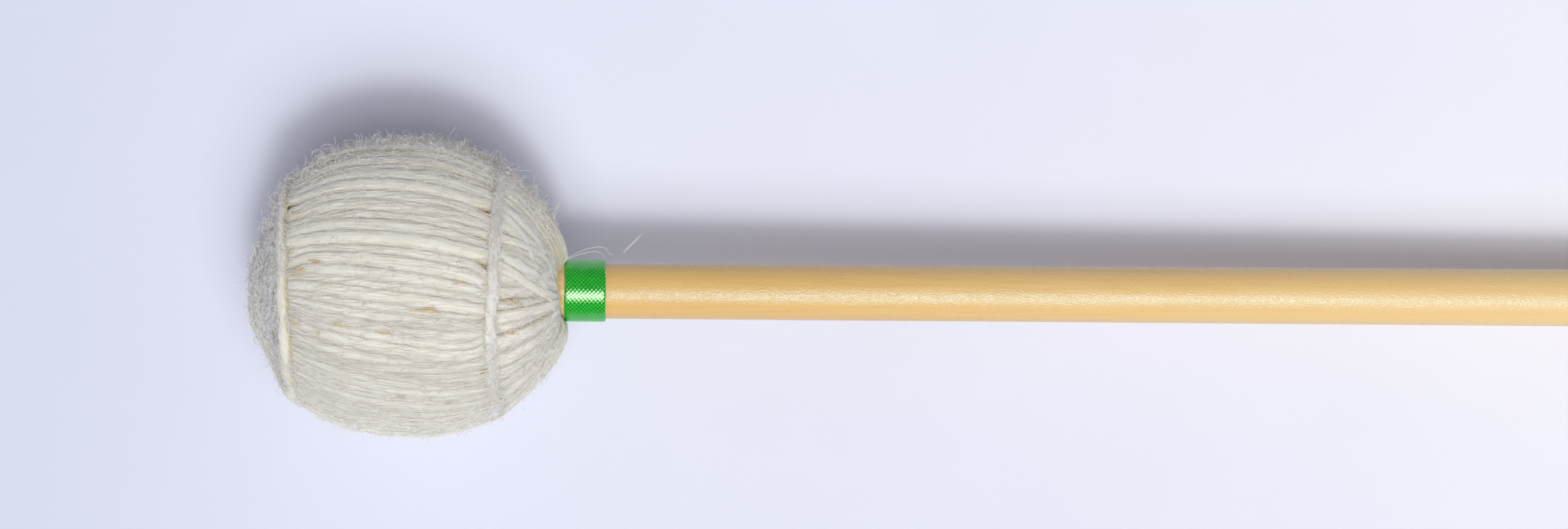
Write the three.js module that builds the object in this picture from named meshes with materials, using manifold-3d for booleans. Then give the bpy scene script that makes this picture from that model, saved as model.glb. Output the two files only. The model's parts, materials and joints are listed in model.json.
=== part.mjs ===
// A marimba mallet: a rubber core wound with wool yarn, on a varnished rattan shaft with a green ribbon at its neck.
// Lengths are in millimetres. The mallet is built along its own axis, +X from the tip of the head to the butt of the
// shaft, with the middle of the core at zero. It is then tilted to lie as it does on a table, on its head and butt.
// The origin is the spot on the table under the head, and +Z is up.
import * as THREE from "three";
import { mergeVertices } from "three/addons/utils/BufferGeometryUtils.js";
import Module from "manifold-3d";

// Core
const CORE_RADIUS = 12.5;
const CORE_LENGTH = 22;
const CORE_EDGE = 8.5;
const CORE_NOSE = 4; // rubber left in front of the bore

// Shaft
const SHAFT_RADIUS = 3.35; // at the head
const BUTT_RADIUS = 3.8;
const SHAFT_LENGTH = 360.9; // from the head's neck to the butt
const BUTT_EDGE = 1.2;
const SPIGOT_RADIUS = 2.6;
const SPIGOT_EDGE = 0.5;

// Yarn
const BASE_LAYER = 2.3; // inner layer, at the middle of the head
const COVER_LAYER = 1.5;
const TIP_PILE = 3.7; // extra yarn that piles up over the tip
const NECK_PILE = 1.2; // and behind the core
const STRAND_WIDTH = 2.1; // the widest that a strand lies
const STRAND_HEIGHT = 1.4;
const STRAND_GAP = 0.48; // between strands that lie side by side
const TIP_BINDING_WIDTH = 1.3;
const NECK_BINDING_WIDTH = 1.9;
const HITCH_STRAND = 1; // the turns that tie the yarn to the shaft
const HITCH_PITCH = 1.48;
const TABLE_FLAT = 0.5; // how far the yarn is pressed flat where it lies on the table

// Ribbon and glue
const RIBBON_WIDTH = 5.1;
const RIBBON_THICKNESS = 0.13;
const RIBBON_PITCH = 0.17; // rise per turn, so that the ribbon clears its own start
const NECK_SPACE = 0.4; // bare shaft between yarn and ribbon
const GLUE_FILM = 0.05;
const GLUE_CLEARANCE = 0.05;
const BEAD_LENGTH = 0.5; // glue pressed out ahead of the ribbon
const BEAD_HEIGHT = 0.55;
const BACK_BEAD_LENGTH = 0.2;
const BACK_BEAD_HEIGHT = 0.2;
const CORE_GLUE_FILM = 0.2;
const CORE_GLUE_CLEARANCE = 0.12;

// Fits
const SEAT = 0.3; // between pieces that rest on each other

// Counts
const HEAD_PASSES = 44; // two to a loop of yarn
const NECK_PASSES = 32;
const TIP_PASSES = 20;
const HITCH_TURNS = 1.4;
const RIBBON_TURNS = 1.22;
const ROUND = 40; // facets round the shaft
const ROUND_HIDDEN = 32; // facets round the inner pieces
const EDGE_STEPS = 5;
const OUTLINE_STEPS = 16;

// The head's outline: share of its length from the tip, and share of its radius.
const HEAD_OUTLINE_SHARES = [
  [0, 0], [0.003, 0.06], [0.013, 0.16], [0.034, 0.29], [0.06, 0.42], [0.09, 0.56], [0.113, 0.67],
  [0.135, 0.735], [0.178, 0.79], [0.25, 0.885], [0.327, 0.948], [0.404, 0.981], [0.48, 0.997], [0.557, 1],
  [0.634, 0.984], [0.711, 0.938], [0.788, 0.866], [0.85, 0.775], [0.9, 0.665], [0.941, 0.54], [0.968, 0.44],
  [1, 0.27],
];
// Places along that outline, as shares of its length from the tip.
const TIP_BINDING_SHARE = 0.26;
const NECK_BINDING_SHARE = 0.767;
const TIP_INNER_SHARE = 0.045; // where the longest strands turn back at the tip
const TIP_MIDDLE_SHARE = 0.13; // and the short ones
const NECK_MIDDLE_SHARE = 0.885;

// What follows from the sizes above
const coreFront = -CORE_LENGTH / 2;
const coreBack = CORE_LENGTH / 2;
const laid = STRAND_HEIGHT + SEAT; // from the outside of the yarn to what the outer strands lie on
const windingBuild = SEAT + BASE_LAYER + SEAT + COVER_LAYER + laid;
const headRadius = CORE_RADIUS + windingBuild;
const headFront = coreFront - windingBuild - TIP_PILE;
const headBack = coreBack + windingBuild + NECK_PILE;
const shaftBack = headBack + SHAFT_LENGTH;
const hitchRadius = SHAFT_RADIUS + SEAT + HITCH_STRAND / 2;
const hitchSpace = hitchRadius + HITCH_STRAND / 2 + SEAT;
const ribbonFront = headBack + NECK_SPACE;
const ribbonBack = ribbonFront + RIBBON_WIDTH;

const COLOURS = {
  wool: { color: "#e6e3d2", roughness: 0.95, metalness: 0 },
  innerWool: { color: "#ddd5c0", roughness: 0.95, metalness: 0 },
  rubber: { color: "#4a4440", roughness: 0.8, metalness: 0 },
  rattan: { color: "#e3b96b", roughness: 0.35, metalness: 0 },
  ribbon: { color: "#1d9a3a", roughness: 0.4, metalness: 0 },
  glue: { color: "#c98a3c", roughness: 0.4, metalness: 0 },
};

const wasm = await Module();
wasm.setup();

function solidOf(geometry) {
  const bare = new THREE.BufferGeometry().setAttribute("position", geometry.getAttribute("position"));
  if (geometry.index) bare.setIndex(geometry.index);
  const merged = mergeVertices(bare);
  return new wasm.Manifold(new wasm.Mesh({
    numProp: 3,
    vertProperties: new Float32Array(merged.attributes.position.array),
    triVerts: new Uint32Array(merged.index.array),
  }));
}

function geometryOf(solid) {
  const { vertProperties, triVerts } = solid.getMesh();
  const geometry = new THREE.BufferGeometry();
  geometry.setAttribute("position", new THREE.BufferAttribute(vertProperties, 3));
  return geometry.setIndex(new THREE.BufferAttribute(triVerts, 1));
}

function mesh(name, geometry, look) {
  const made = new THREE.Mesh(geometry, new THREE.MeshStandardMaterial(COLOURS[look]));
  made.name = name;
  return made;
}

// Turns a profile of [place along the axis, radius] round the mallet's axis. A flat facet faces the table.
function turned(profile, facets) {
  const points = profile.map(([along, radius]) => new THREE.Vector2(radius, along));
  return new THREE.LatheGeometry(points, facets, Math.PI / facets).rotateZ(-Math.PI / 2);
}

// A quarter of a circle from one angle to another, as profile points.
function arc(centreAlong, centreRadius, radius, from, to) {
  return Array.from({ length: EDGE_STEPS + 1 }, (_, i) => {
    const angle = from + ((to - from) * i) / EDGE_STEPS;
    return [centreAlong + radius * Math.cos(angle), centreRadius + radius * Math.sin(angle)];
  });
}

// The core's outline from front to back, grown by a clearance.
function coreOutline(grown) {
  const edge = CORE_EDGE + grown;
  const radius = CORE_RADIUS + grown - edge;
  return [
    [coreFront - grown, 0],
    ...arc(coreFront - grown + edge, radius, edge, Math.PI, Math.PI / 2),
    ...arc(coreBack + grown - edge, radius, edge, Math.PI / 2, 0),
  ];
}

// The head's outline
const headCurve = new THREE.SplineCurve(HEAD_OUTLINE_SHARES.map(([along, out]) =>
  new THREE.Vector2(headFront + along * (headBack - headFront), out * headRadius)));
const headArc = headCurve.getLength();

// A place on the head: how far along the outline from the tip, and how deep under it.
function headPlace(along, depth) {
  const share = Math.min(Math.max(along / headArc, 0), 1);
  const point = headCurve.getPointAt(share);
  const tangent = headCurve.getTangentAt(share);
  return {
    along: point.x + tangent.y * depth,
    radius: point.y - tangent.x * depth,
    outAlong: -tangent.y,
    outRadius: tangent.x,
  };
}

// The outline at a depth, from the axis at the tip until it comes down to a radius at the neck.
function headOutline(depth, neckRadius) {
  const places = Array.from({ length: OUTLINE_STEPS + 1 }, (_, i) => headPlace((headArc * i) / OUTLINE_STEPS, depth));
  const profile = [[places[0].along, 0]];
  for (const { along, radius } of places.slice(1)) {
    const [lastAlong, lastRadius] = profile[profile.length - 1];
    if (along > headFront + headRadius && radius < neckRadius) {
      const share = (lastRadius - neckRadius) / (lastRadius - radius);
      profile.push([lastAlong + share * (along - lastAlong), neckRadius]);
      return profile;
    }
    if (radius > 0 && along > lastAlong) profile.push([along, radius]);
  }
  return profile;
}

// A yarn strand along a path of { point, out, width, height }, with a six-sided section whose ridge faces out.
function strand(path) {
  const rings = path.map(({ point, out, width, height }, i) => {
    const before = path[Math.max(i - 1, 0)].point;
    const after = path[Math.min(i + 1, path.length - 1)].point;
    const forward = after.clone().sub(before).normalize();
    const side = forward.clone().cross(out).normalize();
    const up = side.clone().cross(forward);
    return [[0, 1], [1, 0.5], [1, -0.5], [0, -1], [-1, -0.5], [-1, 0.5]].map(([across, rise]) =>
      point.clone().addScaledVector(side, (across * width) / 2).addScaledVector(up, (rise * height) / 2));
  });
  const sides = rings[0].length;
  const index = [];
  for (let i = 0; i + 1 < rings.length; i++) {
    for (let k = 0; k < sides; k++) {
      const [a, b] = [i * sides + k, i * sides + ((k + 1) % sides)];
      index.push(a, b, b + sides, a, b + sides, a + sides);
    }
  }
  const last = (rings.length - 1) * sides;
  for (let k = 1; k + 1 < sides; k++) {
    index.push(0, k + 1, k, last, last + k, last + k + 1);
  }
  const geometry = new THREE.BufferGeometry().setFromPoints(rings.flat());
  geometry.setIndex(index);
  geometry.userData.rings = rings;
  return geometry;
}

// The least gap between stretches of a strand that are further apart along it than they may be side by side.
function leastGap(geometry) {
  const { rings } = geometry.userData;
  const shares = [0, 0.2, 0.4, 0.6, 0.8];
  const samples = [];
  let run = 0;
  for (let i = 0; i + 1 < rings.length; i++) {
    const step = rings[i][0].distanceTo(rings[i + 1][0]);
    for (const share of shares) {
      rings[i].forEach((corner, k) => samples.push({
        point: corner.clone().lerp(rings[i + 1][k], share),
        run: run + share * step,
      }));
    }
    run += step;
  }
  const beside = Math.PI * STRAND_WIDTH;
  let least = Infinity;
  samples.forEach((a, i) => {
    for (let j = i + 1; j < samples.length; j++) {
      if (samples[j].run - a.run > beside) least = Math.min(least, a.point.distanceTo(samples[j].point));
    }
  });
  return least;
}

// A point on the head at a place along its outline and an angle round the axis, with its way out.
function onHead(along, depth, angle) {
  const place = headPlace(along, depth);
  const [y, z] = [Math.cos(angle), Math.sin(angle)];
  return {
    point: new THREE.Vector3(place.along, place.radius * y, place.radius * z),
    out: new THREE.Vector3(place.outAlong, place.outRadius * y, place.outRadius * z),
    radius: place.radius,
  };
}

// One strand laid to and fro over the head in passes that lie side by side, joined by hairpins at alternate ends.
// ends(pass) gives the places where a pass starts and where it turns back, and lane(pass, along) where it lies
// round the head, in lanes from the one that meets the table. Its width fills the room between lanes as far as the
// yarn spreads.
function laidStrand({ passes, steps, ends, lane, spacing }) {
  const depth = STRAND_HEIGHT / 2;
  const path = [];
  const add = (along, at) => {
    const place = onHead(along, depth, (2 * Math.PI * at) / passes - Math.PI / 2);
    const room = (spacing(along) * 2 * Math.PI * place.radius) / passes - STRAND_GAP;
    path.push({ ...place, width: Math.min(STRAND_WIDTH, room), height: STRAND_HEIGHT });
  };
  for (let pass = 0; pass < passes; pass++) {
    const [near, far] = ends(pass);
    const [from, to] = pass % 2 ? [far, near] : [near, far];
    for (let i = 0; i < steps(pass); i++) {
      const along = from + ((to - from) * i) / (steps(pass) - 1);
      add(along, lane(pass, along));
    }
    if (pass === passes - 1) break;
    const [here, next] = [lane(pass, to), lane(pass + 1, to)];
    const reach = ((next - here) / 2) * ((2 * Math.PI * headPlace(to, depth).radius) / passes);
    for (const turn of [Math.PI / 3, (2 * Math.PI) / 3]) {
      add(to + Math.sign(to - from) * reach * Math.sin(turn),
        (here + next) / 2 - ((next - here) / 2) * Math.cos(turn));
    }
  }
  return strand(path);
}

// How far from a hairpin's straight ends its outer edge lies, at a place where passes lie a number of lanes apart.
function hairpinReach(along, passes, lanes) {
  const room = (lanes * 2 * Math.PI * headPlace(along, STRAND_HEIGHT / 2).radius) / passes;
  return (room + Math.min(STRAND_WIDTH, room - STRAND_GAP)) / 2;
}

const smooth = (share) => THREE.MathUtils.smoothstep(share, 0, 1);

// Passes in pairs, of which every other pair turns back halfway. The rest spread out into the room it leaves.
function nestedStrand({ passes, longSteps, shortSteps, start, middle, end }) {
  const isLong = (pass) => Math.floor(pass / 2) % 2 === 0;
  const way = Math.sign(end - start);
  const spreadFrom = middle + way * (hairpinReach(middle, passes, 1) + STRAND_GAP);
  const spread = (along) => smooth((along - spreadFrom) / (end - spreadFrom));
  return laidStrand({
    passes,
    steps: (pass) => (isLong(pass) ? longSteps : shortSteps),
    ends: (pass) => [start, isLong(pass) ? end : middle],
    lane: (pass, along) => {
      const widening = isLong(pass) ? 1 + spread(along) : 1;
      return 2 * Math.floor(pass / 2) + 0.5 + (pass % 2 ? 0.5 : -0.5) * widening;
    },
    spacing: (along) => 1 + spread(along),
  });
}

// Places of the two bindings along the outline, and the edges of the strands beside them
const tipBindingAt = TIP_BINDING_SHARE * headArc;
const neckBindingAt = NECK_BINDING_SHARE * headArc;
const besideTipBinding = TIP_BINDING_WIDTH / 2 + STRAND_GAP;
const besideNeckBinding = NECK_BINDING_WIDTH / 2 + STRAND_GAP;

function headWinding() {
  const front = tipBindingAt + besideTipBinding;
  const back = neckBindingAt - besideNeckBinding;
  const ends = [back - hairpinReach(back, HEAD_PASSES, 1), front + hairpinReach(front, HEAD_PASSES, 1)];
  return laidStrand({
    passes: HEAD_PASSES,
    steps: () => 6,
    ends: () => ends,
    lane: (pass) => pass,
    spacing: () => 1,
  });
}

function neckWinding() {
  const front = neckBindingAt + besideNeckBinding;
  return nestedStrand({
    passes: NECK_PASSES,
    longSteps: 6,
    shortSteps: 3,
    start: front + hairpinReach(front, NECK_PASSES, 1),
    middle: NECK_MIDDLE_SHARE * headArc,
    end: headArc - hairpinReach(headArc, NECK_PASSES, 2),
  });
}

function tipWinding() {
  const back = tipBindingAt - besideTipBinding;
  return nestedStrand({
    passes: TIP_PASSES,
    longSteps: 5,
    shortSteps: 3,
    start: back - hairpinReach(back, TIP_PASSES, 1),
    middle: TIP_MIDDLE_SHARE * headArc,
    end: TIP_INNER_SHARE * headArc,
  });
}

// A single turn of yarn round the head, pulled tight. Its ends meet below the shaft's axis, where it is sewn in.
function binding(along, width) {
  const steps = 24;
  const { radius } = headPlace(along, STRAND_HEIGHT / 2);
  const half = Math.PI - (STRAND_GAP + SEAT) / 2 / radius;
  return strand(Array.from({ length: steps + 1 }, (_, i) => ({
    ...onHead(along, STRAND_HEIGHT / 2, Math.PI / 2 - half + (2 * half * i) / steps),
    width,
    height: STRAND_HEIGHT,
  })));
}

// The turns round the shaft, close behind the core, that the winding starts from.
function hitch() {
  const steps = Math.round(16 * HITCH_TURNS);
  const front = coreBack + SEAT + HITCH_STRAND / 2;
  return strand(Array.from({ length: steps + 1 }, (_, i) => {
    const turns = (HITCH_TURNS * i) / steps;
    const [y, z] = [Math.cos(2 * Math.PI * turns), Math.sin(2 * Math.PI * turns)];
    return {
      point: new THREE.Vector3(front + HITCH_PITCH * turns, hitchRadius * y, hitchRadius * z),
      out: new THREE.Vector3(0, y, z),
      width: HITCH_STRAND,
      height: HITCH_STRAND,
    };
  }));
}

function shaft() {
  const seat = coreBack + SEAT;
  const front = coreFront + CORE_NOSE + SEAT;
  return turned([
    [front, 0],
    [front, SPIGOT_RADIUS - SPIGOT_EDGE],
    [front + SPIGOT_EDGE, SPIGOT_RADIUS],
    [seat, SPIGOT_RADIUS],
    [seat, SHAFT_RADIUS],
    [ribbonBack, SHAFT_RADIUS],
    ...arc(shaftBack - BUTT_EDGE, BUTT_RADIUS - BUTT_EDGE, BUTT_EDGE, Math.PI / 2, 0),
    [shaftBack, 0],
  ], ROUND);
}

const boreRadius = SPIGOT_RADIUS + 2 * CORE_GLUE_CLEARANCE + CORE_GLUE_FILM;

function core() {
  return turned([
    ...coreOutline(0),
    [coreBack, boreRadius],
    [coreFront + CORE_NOSE, boreRadius],
    [coreFront + CORE_NOSE, 0],
  ], ROUND_HIDDEN);
}

function coreGlue() {
  const inner = SPIGOT_RADIUS + CORE_GLUE_CLEARANCE;
  const front = coreFront + CORE_NOSE + SEAT + SPIGOT_EDGE;
  const loop = [[front, inner], [front, inner + CORE_GLUE_FILM], [coreBack, inner + CORE_GLUE_FILM], [coreBack, inner]];
  return turned([...loop, loop[0]], ROUND_HIDDEN);
}

function baseLayer() {
  return turned([
    ...headOutline(laid + COVER_LAYER + SEAT, hitchSpace),
    [coreBack + SEAT, hitchSpace],
    ...coreOutline(SEAT).reverse(),
  ], ROUND_HIDDEN);
}

function coverLayer() {
  const hole = SHAFT_RADIUS + SEAT;
  const outside = headOutline(laid, hole);
  return turned([
    ...outside,
    [outside[outside.length - 1][0], hole],
    ...headOutline(laid + COVER_LAYER, hole).reverse(),
  ], ROUND_HIDDEN);
}

const filmInside = SHAFT_RADIUS + GLUE_CLEARANCE;
const filmOutside = filmInside + GLUE_FILM;

function ribbonGlue() {
  const [front, back] = [ribbonFront - BEAD_LENGTH, ribbonBack + BACK_BEAD_LENGTH];
  const loop = [
    [front, filmInside],
    [front, filmInside + BEAD_HEIGHT / 2],
    [front + BEAD_LENGTH / 4, filmInside + BEAD_HEIGHT],
    [ribbonFront - GLUE_CLEARANCE, filmInside + BEAD_HEIGHT],
    [ribbonFront - GLUE_CLEARANCE, filmOutside],
    [ribbonBack + GLUE_CLEARANCE, filmOutside],
    [ribbonBack + GLUE_CLEARANCE, filmInside + BACK_BEAD_HEIGHT],
    [back, filmOutside],
    [back, filmInside],
  ];
  return turned([...loop, loop[0]], ROUND);
}

// The ribbon's section is a spiral strip, a little over one turn long, so that its end lies on its start.
function ribbon() {
  const steps = Math.round(ROUND * RIBBON_TURNS);
  const spiral = (base) => Array.from({ length: steps + 1 }, (_, i) => {
    const turns = i / ROUND;
    const radius = base + RIBBON_PITCH * turns;
    const angle = -2 * Math.PI * turns;
    return new THREE.Vector2(radius * Math.cos(angle), radius * Math.sin(angle));
  });
  const inside = filmOutside + GLUE_CLEARANCE;
  const section = new THREE.Shape([...spiral(inside), ...spiral(inside + RIBBON_THICKNESS).reverse()]);
  const strip = new THREE.ExtrudeGeometry(section, { depth: RIBBON_WIDTH, bevelEnabled: false });
  return strip.rotateY(Math.PI / 2).translate(ribbonFront, 0, 0);
}

// How the mallet lies: the tilt at which the lowest strands, pressed flat, and the butt both touch the table.
function lie() {
  const facet = Math.cos(Math.PI / ROUND);
  const buttAlong = shaftBack - BUTT_EDGE;
  const outline = Array.from({ length: 400 }, (_, i) => headPlace((headArc * i) / 400, 0));
  let tilt = 0;
  let lowest;
  const drop = (place) => place.along * Math.sin(tilt) + place.radius * Math.cos(tilt);
  for (let i = 0; i < 30; i++) {
    lowest = outline.reduce((best, place) => (drop(place) > drop(best) ? place : best));
    tilt = Math.asin((drop(lowest) - TABLE_FLAT - BUTT_RADIUS * facet * Math.cos(tilt)) / buttAlong);
  }
  return {
    tilt,
    height: drop(lowest) - TABLE_FLAT,
    back: lowest.radius * Math.sin(tilt) - lowest.along * Math.cos(tilt),
  };
}

const mallet = new THREE.Group();
const { tilt, height, back } = lie();
mallet.rotation.y = tilt;
mallet.position.set(back, 0, height);
mallet.updateMatrixWorld(true);

// Cuts away what would reach below the table.
function pressedFlat(geometry) {
  const size = 4 * headRadius;
  const below = new THREE.BoxGeometry(size, size, size).translate(0, 0, -size / 2);
  below.applyMatrix4(mallet.matrixWorld.clone().invert());
  return geometryOf(solidOf(geometry).subtract(solidOf(below)));
}

const wound = {
  head_winding: headWinding(),
  neck_winding: neckWinding(),
  tip_winding: tipWinding(),
  tip_binding: binding(tipBindingAt, TIP_BINDING_WIDTH),
  neck_binding: binding(neckBindingAt, NECK_BINDING_WIDTH),
  starting_hitch: hitch(),
};
for (const [name, geometry] of Object.entries(wound)) {
  console.log(`${name}: least gap to itself ${leastGap(geometry).toFixed(2)} mm`);
}
wound.head_winding = pressedFlat(wound.head_winding);

mallet.add(
  mesh("shaft", shaft(), "rattan"),
  mesh("core", core(), "rubber"),
  mesh("core_glue", coreGlue(), "glue"),
  mesh("starting_hitch", wound.starting_hitch, "innerWool"),
  mesh("yarn_base_layer", baseLayer(), "innerWool"),
  mesh("yarn_cover_layer", coverLayer(), "innerWool"),
  mesh("head_winding", wound.head_winding, "wool"),
  mesh("tip_winding", wound.tip_winding, "wool"),
  mesh("neck_winding", wound.neck_winding, "wool"),
  mesh("tip_binding", wound.tip_binding, "wool"),
  mesh("neck_binding", wound.neck_binding, "wool"),
  mesh("ribbon_glue", ribbonGlue(), "glue"),
  mesh("ribbon_band", ribbon(), "ribbon"),
);

const part = new THREE.Group();
part.add(mallet);
export default part;
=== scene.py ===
# A marimba mallet on a pale table, seen from above: wool yarn wound over a round head, and a varnished rattan
# shaft with a green ribbon at its neck. Lengths are in metres, written as multiples of MM. A wave's run is
# the length in which it turns by a radian.
import json
import math

import bpy
import numpy as np
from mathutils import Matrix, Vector


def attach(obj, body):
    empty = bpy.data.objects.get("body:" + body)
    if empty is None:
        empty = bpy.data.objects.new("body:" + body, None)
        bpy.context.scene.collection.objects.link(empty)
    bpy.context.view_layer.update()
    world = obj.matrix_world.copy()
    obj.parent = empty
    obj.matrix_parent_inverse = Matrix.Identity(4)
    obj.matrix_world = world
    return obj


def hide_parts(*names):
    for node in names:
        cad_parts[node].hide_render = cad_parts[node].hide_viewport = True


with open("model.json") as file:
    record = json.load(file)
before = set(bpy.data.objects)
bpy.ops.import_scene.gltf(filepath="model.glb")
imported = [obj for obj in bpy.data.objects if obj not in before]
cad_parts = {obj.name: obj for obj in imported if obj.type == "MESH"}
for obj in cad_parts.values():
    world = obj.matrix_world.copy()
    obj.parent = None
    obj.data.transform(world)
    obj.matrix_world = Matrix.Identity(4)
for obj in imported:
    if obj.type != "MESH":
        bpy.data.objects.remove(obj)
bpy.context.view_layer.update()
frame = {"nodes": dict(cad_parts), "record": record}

MM = 0.001
TURN = 2 * math.pi

# The mallet
MALLET_LENGTH = 400 * MM
HEAD_LENGTH = 39.1 * MM
HEAD_RADIUS = 18.6 * MM
SHAFT_RADIUS = 3.42 * MM  # at the head
SHAFT_INSIDE = 8 * MM  # how far the shaft shows into the head
SHAFT_WAVE_SHARE = 0.004  # how far the rattan departs from round, as a share of its radius
SHAFT_WAVE_RUN = 23 * MM
SHAFT_TWIST_RUN = 40 * MM
BUTT_RADIUS = 3.85 * MM
BUTT_EDGE = 1.2 * MM
PALE_RATTAN = 160 * MM  # from the head, where the shaft's colour is palest

# The head's outline: share of its length from the tip, and share of its radius. The last points tuck it in at
# the shaft.
OUTLINE_SHARES = [
    (0, 0), (0.003, 0.06), (0.013, 0.18), (0.034, 0.305), (0.06, 0.42), (0.09, 0.56), (0.113, 0.67),
    (0.135, 0.735), (0.178, 0.79), (0.25, 0.885), (0.327, 0.948), (0.404, 0.981), (0.48, 0.997), (0.557, 1),
    (0.634, 0.984), (0.711, 0.938), (0.788, 0.866), (0.85, 0.775), (0.9, 0.665), (0.941, 0.54), (0.968, 0.44),
    (0.99, 0.33), (0.998, 0.24),
]
# How far the head leans towards the far side of the table: share of its length, and share of its radius
LEAN_SHARES = [(0, -0.043), (0.1, 0.003), (0.3, 0.014), (0.6, 0.013), (0.86, -0.005), (1, -0.027)]
# How far down the shaft the yarn comes: share of its radius across it, and share of NECK_REACH
NECK_EDGE_SHARES = [(-1, 0.95), (-0.7, 0.2), (0, -0.2), (0.7, -0.45), (1, 0.9)]
NECK_REACH = 1 * MM
NECK_START_SHARE = 0.85  # of the head's length, from where the yarn reaches down the shaft
TIP_BINDING_SHARE = 0.128
NECK_BINDING_SHARE = 0.803

# Strands round the head
HEAD_STRANDS = 92
STEEP_STRANDS = 10  # more strands, which cross over the others
STRAND_HEIGHT = 1.2 * MM
PLY_PITCH = 9 * MM  # a turn of the plies
TWIST = math.radians(11)  # how far the strands turn round the head between the bindings
UNTWISTED_SHARE = 0.4  # of that way, where a strand is at the angle of its own lane
FAR_SIDE = math.radians(-105)  # where round the head the strands are widest
WIDER_SHARE = 0.45  # how much wider they are there than on the average
HEIGHT_POWER = 1.1  # how their height follows the width of their lanes
SPREAD_SHARE = 3.4  # a strand's width as a share of its lane, before it narrows in the wide lanes
SPREAD_FALL_SHARE = 1.35
LANE_JITTER_SHARE = 0.1
LANE_DRIFT_SHARE = 0.15
STEEP_LANES = (1.2, 2.8)  # how many lanes a steep strand crosses
BUNCH_RUN = 2.2 * MM  # from a binding, where the strands are gathered into bunches
BUNCH_SHARE = 0.24
BUNCH_START_SHARE = 0.22  # of the strands, which start a bunch
STRAND_DEPTH = 0.1 * MM  # of a strand's top under the head's outline
STEEP_DEPTH = 0.05 * MM
STRAND_UNEVENNESS = 0.075 * MM
STRAND_WAVE = 0.05 * MM
UNEVEN_LANE_SHARE = 1.15  # of the average lane's width, at which a strand is as uneven as that
UNEVEN_POWER = 2.5
STRAND_DIP = 0.35 * MM  # how much deeper the strands lie at the bindings
DIP_RUN = 1.3 * MM
UNDER_BINDING = 0.2 * MM  # how far the strands at the tip and at the neck reach under the bindings

# Strands over the tip
TIP_CHORDS = 84
TIP_CHORD_ASIDE = 8 * MM  # how far from the tip they may pass
TIP_CHORD_BEND = 0.5 * MM
TIP_STRAND_WIDTH = 1.7 * MM
TIP_HEIGHT_SHARE = 0.42  # of their width
TIP_PLY_PITCH = 7 * MM
TIP_DEPTH = 0.3 * MM
TIP_DEPTH_RANGE = 0.6 * MM
TIP_DIP = 0.4 * MM

# Strands at the neck, with their widths at the neck binding and at the ribbon
CONE_STRANDS = 44
CONE_WIDTHS = (3.5 * MM, 1.5 * MM)
CONE_DEPTHS = (0.3 * MM, 0.42 * MM)
CROSSING_STRANDS = 9
CROSSING_WIDTHS = (1.9 * MM, 1.2 * MM)
CROSSING_DEPTHS = (0.2 * MM, 0.26 * MM)
CONE_STRAND_HEIGHT = 0.55 * MM
CONE_TUCK = 0.8 * MM  # how far they go in at the shaft
CONE_DIP = 0.3 * MM
CONE_DIP_RUN = 1.2 * MM
FRONT_WIDTH = 1.6 * MM
FRONT_HEIGHT_SHARE = 0.32
FRONT_DEPTH = 0.22 * MM
FRONT_DIP = 0.4 * MM  # at both ends of the strands that lie over the others

# Yarn under the strands
UNDER_DEPTH = 1.0 * MM
UNDER_WAVE = 0.06 * MM
UNDER_WAVE_RUN = 2.5 * MM
MARK_WIDTH = 0.3 * MM
MARK_HEIGHT_SHARE = 0.5
MARK_LENGTHS = (1.0 * MM, 2.6 * MM)
MARK_DEPTH = 0.13 * MM
MARK_SPREAD = 0.4 * MM
MARK_ASIDE = 0.14 * MM
UNSEEN_MARKS = 24  # on the head's underside

# Bindings: their width and height, how deep the middle lies, how far it strays aside, and a turn of the plies
TIP_RING = {"width": 1.9 * MM, "height": 1.0 * MM, "depth": 0.28 * MM, "wobble": 0.1 * MM, "pitch": 4 * MM}
NECK_RING = {"width": 1.6 * MM, "height": 0.7 * MM, "depth": 0.3 * MM, "wobble": 0.08 * MM, "pitch": 7 * MM}
RING_WAVE = 0.08 * MM

# Fibres
LYING_RADIUS = 0.022 * MM
LYING_FIBRES = 5200  # in each of two pieces
LYING_LENGTH = 4.5 * MM
LYING_DEPTH = 0.14 * MM
LYING_BEND = 0.1 * MM
LYING_WAVE = 0.05 * MM
FIBRE_START = 0.4 * MM  # from the tip of the head
FIBRE_TURN_RADIUS = 2 * MM  # the tightest circle round the tip that a fibre's bend counts on
TIP_RING_FIBRES = 2600
NECK_RING_FIBRES = 2400
RING_FIBRE_LENGTH = 2.5 * MM
RING_FIBRE_RISE = 0.2 * MM
RING_FIBRE_SPREAD = 0.45 * MM
HALO_RADIUS = 0.028 * MM
HALO_ROOT = 0.1 * MM
HALO_FIBRES = [(2400, 1.3 * MM), (2400, 1.6 * MM), (2400, 1.9 * MM), (1200, 2.3 * MM)]  # number and length
CURL = 0.5  # how far a fibre turns in a step, in radians
STRAY_RADII = (0.035 * MM, 0.055 * MM, 0.03 * MM)

# Ribbon
RIBBON_FRONT = 39.5 * MM  # from the tip of the head
RIBBON_WIDTH = 5.1 * MM
RIBBON_RADIUS = 3.76 * MM
RIBBON_THICKNESS = 0.13 * MM
RIBBON_RISE = 0.15 * MM  # in a turn, so that the ribbon's end lies on its start
RIBBON_TURNS = 1.22
RIBBON_START_SHARE = 0.62  # of a turn round the shaft, from straight up
RIBBON_STRAY = 0.03 * MM
SELVEDGE = 0.12 * MM
SELVEDGE_DIP_SHARE = 6  # of WEAVE_RISE
WEAVE_PITCH = 0.52 * MM
WEAVE_RISE = 0.014 * MM

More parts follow.
